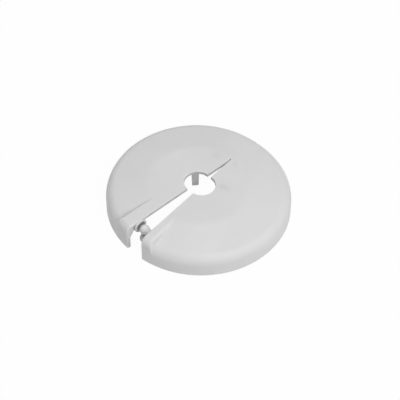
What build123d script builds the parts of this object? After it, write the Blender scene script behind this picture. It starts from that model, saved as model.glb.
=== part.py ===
from build123d import *
import os
from math import atan2, cos, degrees, radians, sin, tan

os.makedirs("parts", exist_ok=True)

# Split pipe rosette, moulded in one piece with its two wings standing slightly open.
# Z = 0 is the wall plane and +Z points into the room. The slit and its uncut web, the hinge,
# lie on the +X side, and the open mouth of the split on the -X side.

# Dish, in millimetres and degrees
disc_diameter = 80.0
height = 13.0
wall = 1.5
flat_diameter = 43.0
flat_blend_radius = 19.0
cone_angle = 10.5
shoulder_radius = 5.0
hollow_chamfer = 2.0
edge_radius = 0.4

# Pipe hole, slit and opening of the wings
pipe_diameter = 12.0
hole_offset = 0.8
hinge_distance = 20.4
opening_angle = 3.8
slit_width = 0.3
slit_end_diameter = 0.8
web_bow = 12.0

# Raised ridges along the split: the left one roofs the socket, the narrower right one the studs.
# Their roof breaks a little before it rounds off, and the side radius is that of the hollow inside.
ridge_overlap = 1.75
left_ridge_width = 6.9
left_ridge_slope = 60.0
right_ridge_width = 4.5
right_ridge_slope = 75.0
ridge_break = 8.0
ridge_side_radius = 0.3
ridge_end_radius = 3.5

# Steadying fingers, just clear of the pipe hole
finger_angle = 57.0
finger_width = 3.2
finger_tip_width = 2.8
finger_thickness = 1.2
finger_clearance = 0.1
finger_foot = 3.8

# Snap: a ball stud and a guide stud on the right wing, a ring socket on the left wing
snap_distance = 32.6
snap_drop = 3.6
snap_pitch = 5.6
ball_diameter = 4.6
ball_reach = 6.5
neck_diameter = 3.0
tab_width = 6.0
tab_foot = 1.6
snap_grip = 0.3
socket_wall = 1.1
socket_length = 3.0
socket_nose = 0.4
nose_chamfer = 0.35

# Sizes worked out from the driving dimensions
disc_radius = disc_diameter / 2
flat_radius = flat_diameter / 2
pipe_radius = pipe_diameter / 2
ball_radius = ball_diameter / 2
socket_radius = ball_radius - snap_grip / 2
snap_height = height - snap_drop
blend_width = flat_blend_radius * tan(radians(cone_angle / 2))
ridge_start = flat_radius - blend_width - ridge_overlap
cut_margin = 1.0

# The wings' frames: closed, they are the disc's own; open, they have turned about the hinge
turn = radians(opening_angle)
wing_x = hinge_distance * (1 - cos(turn))
wing_y = hinge_distance * sin(turn)
left_wing = Plane(origin=(wing_x, wing_y, 0), x_dir=(cos(turn), -sin(turn), 0), z_dir=(0, 0, 1))
right_wing = Plane(origin=(wing_x, -wing_y, 0), x_dir=(cos(turn), sin(turn), 0), z_dir=(0, 0, 1))

# The web bows a little flatter than the disc, so that both wings run into it without a crease
web_angle = degrees(atan2(wing_y, web_bow))
wing_axis = Axis(left_wing.origin, (0, 0, 1))
web_axis = Axis((wing_x - web_bow, 0, 0), (0, 0, -1))
wing_arc = 180 - opening_angle - web_angle
hole_centre = left_wing.from_local_coords((hole_offset, 0, 0))


def upright_plane(centre, angle):
    """Plane through a vertical axis: its x points outwards at an angle from +X, its y points up."""
    along = (cos(radians(angle)), sin(radians(angle)), 0)
    return Plane(origin=centre, x_dir=along, z_dir=(along[1], -along[0], 0))


# Half section of the dish from outside, where the left wing meets the web
section_plane = upright_plane(left_wing.origin, web_angle)
cone_fall = tan(radians(cone_angle))
with BuildSketch(section_plane) as outside_section:
    with BuildLine():
        outside = FilletPolyline(
            (disc_radius, 0),
            (disc_radius, height - (disc_radius - flat_radius) * cone_fall),
            (flat_radius, height),
            (0, height),
            radius=[shoulder_radius, flat_blend_radius],
        )
        Polyline(outside @ 1, (0, 0), outside @ 0)
    make_face()

# Half section of its hollow, one wall inside, with a straight corner under the shoulder
hollow_radius = disc_radius - wall
hollow_top = height - wall
hollow_flat = flat_radius - wall * tan(radians(cone_angle / 2))
hollow_corner = hollow_top - (hollow_radius - hollow_flat) * cone_fall
with BuildSketch(section_plane) as hollow_section:
    with BuildLine():
        Polyline(
            (hollow_radius, -cut_margin),
            (hollow_radius, hollow_corner - hollow_chamfer),
            (hollow_radius - hollow_chamfer, hollow_corner + hollow_chamfer * cone_fall),
            (hollow_flat, hollow_top),
            (0, hollow_top),
            (0, -cut_margin),
            close=True,
        )
    make_face()

# One finger: a flat tongue that narrows towards its tip
finger_plane = upright_plane(hole_centre, finger_angle - opening_angle)
tongue_plane = Plane(origin=hole_centre, x_dir=-finger_plane.z_dir, z_dir=finger_plane.x_dir)
with BuildPart() as finger:
    with BuildSketch(tongue_plane.offset(pipe_radius + finger_clearance)):
        with BuildLine():
            Polyline(
                (finger_tip_width / 2, finger_foot),
                (finger_width / 2, height - wall / 2),
                (-finger_width / 2, height - wall / 2),
                (-finger_tip_width / 2, finger_foot),
                close=True,
            )
        make_face()
    extrude(amount=finger_thickness)

# Drums that end the ridges near the rim: a rounded one outside and a plain one for the hollow
with BuildPart() as outer_drum:
    with BuildSketch(left_wing):
        Circle(disc_radius)
    extrude(amount=height)
    fillet(outer_drum.edges().group_by(Axis.Z)[-1], ridge_end_radius)

with BuildPart() as hollow_drum:
    with BuildSketch(left_wing.offset(-cut_margin)):
        Circle(hollow_radius - hollow_chamfer)
    extrude(amount=hollow_top + cut_margin)


def ridge(width, slope, inset, drum):
    """Raised ridge beside the left wing's split face, inset from its outer surface."""
    top = height - inset
    radius = ridge_side_radius + wall - inset
    corner = (ridge_side_radius + wall) * tan(radians(slope / 2))
    fall = (cos(radians(ridge_break)), -sin(radians(ridge_break)))
    end = left_wing.from_local_coords((-disc_radius, 0, 0))
    with BuildPart() as block:
        with BuildSketch(Plane(origin=end, x_dir=left_wing.y_dir, z_dir=left_wing.x_dir)):
            with BuildLine():
                roof = Line((0, top), (width - corner + inset * fall[1], top))
                rounding = JernArc(roof @ 1, fall, radius, ridge_break - slope)
                side = PolarLine(rounding @ 1, top, direction=rounding % 1, length_mode=LengthMode.VERTICAL)
                Polyline(side @ 1, (0, (side @ 1).Y), roof @ 0)
            make_face()
        extrude(amount=disc_radius - ridge_start - inset)
        add(drum, mode=Mode.INTERSECT)
    return block.part


def wing(ridge_width, ridge_slope):
    """Left wing with its half of the web, its ridge and its finger."""
    outer_ridge = ridge(ridge_width, ridge_slope, 0, outer_drum.part)
    hollow_ridge = ridge(ridge_width, ridge_slope, wall, hollow_drum.part)
    with BuildPart() as half:
        # Outside, then the hollow, open to the wall and at the split
        revolve(outside_section.sketch, axis=wing_axis, revolution_arc=wing_arc)
        revolve(outside_section.sketch, axis=web_axis, revolution_arc=web_angle)
        add(outer_ridge)
        revolve(hollow_section.sketch, axis=wing_axis, revolution_arc=wing_arc, mode=Mode.SUBTRACT)
        revolve(hollow_section.sketch, axis=web_axis, revolution_arc=web_angle, mode=Mode.SUBTRACT)
        add(hollow_ridge, mode=Mode.SUBTRACT)
        add(finger.part)

        # Pipe hole, with the slit and the split in one straight cut from the hinge to the rim
        cut_length = hinge_distance + disc_radius + cut_margin
        with BuildSketch(left_wing.offset(-cut_margin)):
            with Locations((hole_offset, 0)):
                Circle(pipe_radius)
            with Locations((hinge_distance - cut_length / 2, (slit_width - disc_radius) / 2)):
                Rectangle(cut_length, disc_radius)
            with Locations((hinge_distance, 0)):
                Circle(slit_end_diameter / 2)
        extrude(amount=height + 2 * cut_margin, mode=Mode.SUBTRACT)

        # Soft outer edges round the pipe hole and along the split, down to the wall
        top_arcs = half.edges().group_by(Axis.Z)[-1].filter_by(GeomType.CIRCLE)
        hole_edge = top_arcs.sort_by_distance(hole_centre)[0]
        split_face = half.faces().filter_by(Axis(hole_centre, left_wing.y_dir)).sort_by(Axis.X)[0]
        split_edge = split_face.edges().sort_by(Axis.Z)[-1]
        fillet([hole_edge, split_edge], edge_radius)
    return half.part


# Ring socket, its chamfered nose standing out of the left wing's split face
socket_plane = Plane(
    origin=left_wing.from_local_coords((-snap_distance, -socket_nose, snap_height)),
    x_dir=left_wing.x_dir,
    z_dir=left_wing.y_dir,
)
with BuildPart() as socket:
    with BuildSketch(socket_plane):
        Circle(socket_radius + socket_wall)
        Circle(socket_radius, mode=Mode.SUBTRACT)
    extrude(amount=socket_nose + socket_length)
    nose_face = socket.faces().sort_by(Axis(left_wing.origin, left_wing.y_dir))[0]
    chamfer(nose_face.edges(), nose_chamfer)

left_half = wing(left_ridge_width, left_ridge_slope)
right_half = wing(right_ridge_width, right_ridge_slope).mirror(Plane.XZ)
with BuildPart() as rosette:
    add(left_half)
    add(right_half)

    # Snap: the socket under the left ridge, and the tab that carries the studs under the right one
    add(socket.part)
    with BuildSketch(right_wing.offset(tab_foot)):
        with Locations((-snap_distance, -(wall + slit_width) / 2)):
            Rectangle(tab_width, wall)
    extrude(amount=height - wall / 2 - tab_foot)

    # Ball stud and guide stud
    for stud_height in (snap_height, snap_height - snap_pitch):
        stud_plane = Plane(
            origin=right_wing.from_local_coords((-snap_distance, -wall / 2, stud_height)),
            x_dir=right_wing.x_dir,
            z_dir=right_wing.y_dir,
        )
        neck_length = ball_reach + wall / 2 - ball_radius
        with BuildSketch(stud_plane):
            Circle(neck_diameter / 2)
        extrude(amount=neck_length)
        with Locations(stud_plane.offset(neck_length)):
            Sphere(ball_radius)

rosette.part.label = "rosette"
export_step(rosette.part, "parts/rosette.step")
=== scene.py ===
"""Pipe rosette: one white plastic moulding, lying rim down on a pale studio floor."""

from math import cos, radians, sin

import bpy
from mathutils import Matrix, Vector

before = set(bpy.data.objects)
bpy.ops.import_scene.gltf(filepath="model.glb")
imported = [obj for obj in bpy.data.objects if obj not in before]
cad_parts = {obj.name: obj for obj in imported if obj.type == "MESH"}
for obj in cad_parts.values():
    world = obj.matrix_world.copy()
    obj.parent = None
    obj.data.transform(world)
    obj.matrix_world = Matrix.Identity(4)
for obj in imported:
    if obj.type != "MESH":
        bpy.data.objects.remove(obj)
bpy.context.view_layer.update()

MM = 0.001
MIDDLE = Vector((0, 0, 0))

# Camera: where it stands round the rosette, its distance and its framing
CAMERA_AZIMUTH = -46.0
CAMERA_ELEVATION = 49.05
CAMERA_DISTANCE = 800 * MM
LENS = 161.8
FRAME_SHIFT = (0.0038, 0.0089)

# Floor: a hair below the rim, and shown mostly as plain white
FLOOR_WIDTH = 6.0
FLOOR_DROP = 0.02 * MM
FLOOR_COLOUR = (0.8, 0.8, 0.8, 1)
FLOOR_GLOW_SHARE = 0.97

# Studio light: an even sky, its level as a lamp and as a background,
# and softboxes by azimuth, elevation, power and width
SKY_COLOUR = (1, 1, 1, 1)
SKY_LEVEL = 0.28
BACKGROUND_LEVEL = 1.0
SOFTBOX_DISTANCE = 1.2
SOFTBOXES = {
    "side_softbox": (-5.0, 41.0, 6.4, 0.6),
    "top_softbox": (180.0, 85.0, 5.0, 1.0),
    "left_softbox": (-130.0, 18.0, 0.7, 0.8),
}

# White plastic: its tones, the painted shade of its moulding dents, and the little light that gets into it
PLASTIC_COLOUR = (0.77, 0.77, 0.77, 1)
PLASTIC_DULLER = (0.71, 0.71, 0.71, 1)
# painted shade: the darker colour mixed into the moulding dents
PAINTED_DENT_SHADE = (0.655, 0.655, 0.655, 1)
PLASTIC_IOR = 1.49
TRANSLUCENCY = 0.4
TRANSLUCENT_DEPTH = 1.2 * MM
TRANSLUCENT_COLOUR = (1.0, 1.0, 1.0)

# Its textures: scale and detail of each noise
TONE_CLOUDS = (60.0, 3.0)
MOULD_GRAIN = (2500.0, 2.0)
SCUFFS = (350.0, 5.0)
MARK_UNEVENNESS = (350.0, 2.0)
SCUFF_DISTORTION = 2.0

# Roughness, from the smooth places to the scuffed ones, and the noise values that stand for them
SCUFF_RANGE = (0.35, 0.65)
ROUGHNESS_RANGE = (0.46, 0.62)

# Bumps: strength and height
GRAIN_BUMP = (0.2, 0.05 * MM)
SINK_BUMP = (0.4, 0.06 * MM)

# Shallow moulding marks on the flat, each a dent darkened with painted shade: centre, radius and depth, which
# sets how far each one sinks and how dark its painted shade is
FLAT_HEIGHT = 13.0 * MM
MARK_WOBBLE = 6.0 * MM
MOULDING_MARKS = {
    "sink_behind_finger": ((6.7 * MM, -9.4 * MM, FLAT_HEIGHT), 3.8 * MM, 0.85),
    "flow_mark_left_of_slit": ((18.2 * MM, 5.6 * MM, FLAT_HEIGHT), 3.6 * MM, 0.55),
    "flow_mark_right_of_slit": ((19.2 * MM, -4.0 * MM, FLAT_HEIGHT), 3.2 * MM, 0.45),
}


def direction(azimuth, elevation):
    """Unit vector from the rosette to a point seen at an azimuth from the front and an elevation."""
    a = radians(azimuth)
    e = radians(elevation)
    return Vector((sin(a) * cos(e), -cos(a) * cos(e), sin(e)))


def stand(thing, place):
    """Stands a camera or lamp at a place and turns it to the rosette's middle."""
    thing.location = place
    thing.rotation_euler = (MIDDLE - place).to_track_quat("-Z", "Y").to_euler()
    bpy.context.scene.collection.objects.link(thing)


def new_material(name):
    """Material with an empty node tree, and its output node."""
    material = bpy.data.materials.new(name)
    material.use_nodes = True
    material.node_tree.nodes.clear()
    output = material.node_tree.nodes.new("ShaderNodeOutputMaterial")
    return material, output


def noise_texture(tree, position, scale, detail):
    """Noise texture at a position."""
    noise = tree.nodes.new("ShaderNodeTexNoise")
    noise.inputs["Scale"].default_value = scale
    noise.inputs["Detail"].default_value = detail
    tree.links.new(position, noise.inputs["Vector"])
    return noise


def bump(tree, height, strength, distance):
    """Bump node over a height."""
    node = tree.nodes.new("ShaderNodeBump")
    node.inputs["Strength"].default_value = strength
    node.inputs["Distance"].default_value = distance
    tree.links.new(height, node.inputs["Height"])
    return node


def larger(tree, first, second):
    """Larger of two values."""
    node = tree.nodes.new("ShaderNodeMath")
    node.operation = "MAXIMUM"
    tree.links.new(first, node.inputs[0])
    tree.links.new(second, node.inputs[1])
    return node.outputs["Value"]


def shown_rays(tree):
    """1 for a ray that shows a surface to the camera, directly, mirrored or through glass, and otherwise 0."""
    rays = tree.nodes.new("ShaderNodeLightPath")
    shown = larger(tree, rays.outputs["Is Camera Ray"], rays.outputs["Is Glossy Ray"])
    return larger(tree, shown, rays.outputs["Is Transmission Ray"])


def mark_group():
    """Shader group: a soft uneven spot that fades from its depth at the centre to 0 at its radius."""
    group = bpy.data.node_groups.new("moulding_mark", "ShaderNodeTree")
    sockets = {"Position": "Vector", "Centre": "Vector", "Radius": "Float", "Depth": "Float"}
    for name, kind in sockets.items():
        group.interface.new_socket(name, in_out="INPUT", socket_type="NodeSocket" + kind)
    group.interface.new_socket("Mark", in_out="OUTPUT", socket_type="NodeSocketFloat")
    link = group.links.new
    given = group.nodes.new("NodeGroupInput")
    result = group.nodes.new("NodeGroupOutput")

    # The noise moves each point a little to and fro
    noise = noise_texture(group, given.outputs["Position"], *MARK_UNEVENNESS)
    centred = group.nodes.new("ShaderNodeVectorMath")
    centred.operation = "SUBTRACT"
    centred.inputs[1].default_value = (0.5, 0.5, 0.5)
    moved = group.nodes.new("ShaderNodeVectorMath")
    moved.operation = "MULTIPLY_ADD"
    moved.inputs[1].default_value = (MARK_WOBBLE, MARK_WOBBLE, MARK_WOBBLE)
    link(noise.outputs["Color"], centred.inputs[0])
    link(centred.outputs["Vector"], moved.inputs[0])
    link(given.outputs["Position"], moved.inputs[2])

    # The spot fades with the distance from its centre
    distance = group.nodes.new("ShaderNodeVectorMath")
    distance.operation = "DISTANCE"
    spot = group.nodes.new("ShaderNodeMapRange")
    spot.interpolation_type = "SMOOTHSTEP"
    spot.inputs["To Max"].default_value = 0.0
    link(moved.outputs["Vector"], distance.inputs[0])
    link(given.outputs["Centre"], distance.inputs[1])
    link(distance.outputs["Value"], spot.inputs["Value"])
    link(given.outputs["Radius"], spot.inputs["From Max"])
    link(given.outputs["Depth"], spot.inputs["To Min"])
    link(spot.outputs["Result"], result.inputs["Mark"])
    return group


def moulding_marks(tree, position):
    """Mask of all moulding marks in a material, used for their dents and for their painted shade."""
    group = mark_group()
    mask = None
    for name, (centre, radius, depth) in MOULDING_MARKS.items():
        mark = tree.nodes.new("ShaderNodeGroup")
        mark.node_tree = group
        mark.name = name
        mark.inputs["Centre"].default_value = centre
        mark.inputs["Radius"].default_value = radius
        mark.inputs["Depth"].default_value = depth
        tree.links.new(position, mark.inputs["Position"])
        mask = larger(tree, mask, mark.outputs["Mark"]) if mask else mark.outputs["Mark"]
    return mask


def white_plastic():
    """Satin white plastic with faint tone clouds, moulding dents darkened with painted shade, fine mould grain
    and scuffs.
    """
    material, output = new_material("white_plastic_satin")
    tree = material.node_tree
    nodes = tree.nodes
    link = tree.links.new
    shader = nodes.new("ShaderNodeBsdfPrincipled")
    shader.inputs["IOR"].default_value = PLASTIC_IOR
    shader.inputs["Subsurface Weight"].default_value = TRANSLUCENCY
    shader.inputs["Subsurface Radius"].default_value = TRANSLUCENT_COLOUR
    shader.inputs["Subsurface Scale"].default_value = TRANSLUCENT_DEPTH
    position = nodes.new("ShaderNodeTexCoord").outputs["Object"]

    # Colour: tone clouds, and painted shade in the moulding dents
    clouds = noise_texture(tree, position, *TONE_CLOUDS)
    tone = nodes.new("ShaderNodeMix")
    tone.data_type = "RGBA"
    tone.inputs["A"].default_value = PLASTIC_DULLER
    tone.inputs["B"].default_value = PLASTIC_COLOUR
    marks = moulding_marks(tree, position)
    # Painted shade: the moulding dents are darkened in the colour, standing in for their shading
    painted_dent_shade = nodes.new("ShaderNodeMix")
    painted_dent_shade.data_type = "RGBA"
    painted_dent_shade.inputs["B"].default_value = PAINTED_DENT_SHADE
    link(clouds.outputs["Fac"], tone.inputs["Factor"])
    link(marks, painted_dent_shade.inputs["Factor"])
    link(tone.outputs["Result"], painted_dent_shade.inputs["A"])
    link(painted_dent_shade.outputs["Result"], shader.inputs["Base Color"])

    # Relief: the marks sink in, and the mould's grain lies over everything
    sink = bump(tree, marks, *SINK_BUMP)
    sink.invert = True
    grain = noise_texture(tree, position, *MOULD_GRAIN)
    relief = bump(tree, grain.outputs["Fac"], *GRAIN_BUMP)
    link(sink.outputs["Normal"], relief.inputs["Normal"])
    link(relief.outputs["Normal"], shader.inputs["Normal"])

    # Sheen: a little duller where it is scuffed
    scuffs = noise_texture(tree, position, *SCUFFS)
    scuffs.inputs["Distortion"].default_value = SCUFF_DISTORTION
    sheen = nodes.new("ShaderNodeMapRange")
    sheen.inputs["From Min"].default_value, sheen.inputs["From Max"].default_value = SCUFF_RANGE
    sheen.inputs["To Min"].default_value, sheen.inputs["To Max"].default_value = ROUGHNESS_RANGE
    link(scuffs.outputs["Fac"], sheen.inputs["Value"])
    link(sheen.outputs["Result"], shader.inputs["Roughness"])
    link(shader.outputs["BSDF"], output.inputs["Surface"])
    return material


def floor_white():
    """Pale matt floor, mostly shown as plain white so that only a faint shadow stays on it."""
    material, output = new_material("floor_white")
    tree = material.node_tree
    link = tree.links.new
    matt = tree.nodes.new("ShaderNodeBsdfDiffuse")
    matt.inputs["Color"].default_value = FLOOR_COLOUR
    glow = tree.nodes.new("ShaderNodeEmission")
    share = tree.nodes.new("ShaderNodeMath")
    share.operation = "MULTIPLY"
    share.inputs[1].default_value = FLOOR_GLOW_SHARE
    mix = tree.nodes.new("ShaderNodeMixShader")
    link(shown_rays(tree), share.inputs[0])
    link(share.outputs["Value"], mix.inputs["Fac"])
    link(matt.outputs["BSDF"], mix.inputs[1])
    link(glow.outputs["Emission"], mix.inputs[2])
    link(mix.outputs["Shader"], output.inputs["Surface"])
    return material


def lay_floor():
    """Floor under the rosette."""
    bpy.ops.mesh.primitive_plane_add(size=FLOOR_WIDTH, location=(0, 0, -FLOOR_DROP))
    floor = bpy.context.object
    floor.name = "floor"
    floor.data.materials.append(floor_white())


def light_studio():
    """Even sky, shown as a white background, and the softboxes."""
    world = bpy.data.worlds.new("studio")
    world.use_nodes = True
    bpy.context.scene.world = world
    tree = world.node_tree
    sky = tree.nodes["Background"]
    sky.inputs["Color"].default_value = SKY_COLOUR
    level = tree.nodes.new("ShaderNodeMapRange")
    level.inputs["To Min"].default_value = SKY_LEVEL
    level.inputs["To Max"].default_value = BACKGROUND_LEVEL
    tree.links.new(shown_rays(tree), level.inputs["Value"])
    tree.links.new(level.outputs["Result"], sky.inputs["Strength"])

    for name, (azimuth, elevation, power, width) in SOFTBOXES.items():
        lamp = bpy.data.lights.new(name, "AREA")
        lamp.size = width
        lamp.energy = power
        softbox = bpy.data.objects.new(name, lamp)
        stand(softbox, SOFTBOX_DISTANCE * direction(azimuth, elevation))


def set_camera():
    """Camera at the photograph's viewing angle."""
    camera_data = bpy.data.cameras.new("camera")
    camera_data.lens = LENS
    camera_data.shift_x, camera_data.shift_y = FRAME_SHIFT
    camera = bpy.data.objects.new("camera", camera_data)
    stand(camera, CAMERA_DISTANCE * direction(CAMERA_AZIMUTH, CAMERA_ELEVATION))
    bpy.context.scene.camera = camera
    bpy.context.scene.view_settings.view_transform = "Standard"


plastic = white_plastic()
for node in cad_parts.values():
    for slot in node.material_slots:
        slot.material = plastic

lay_floor()
light_studio()
set_camera()
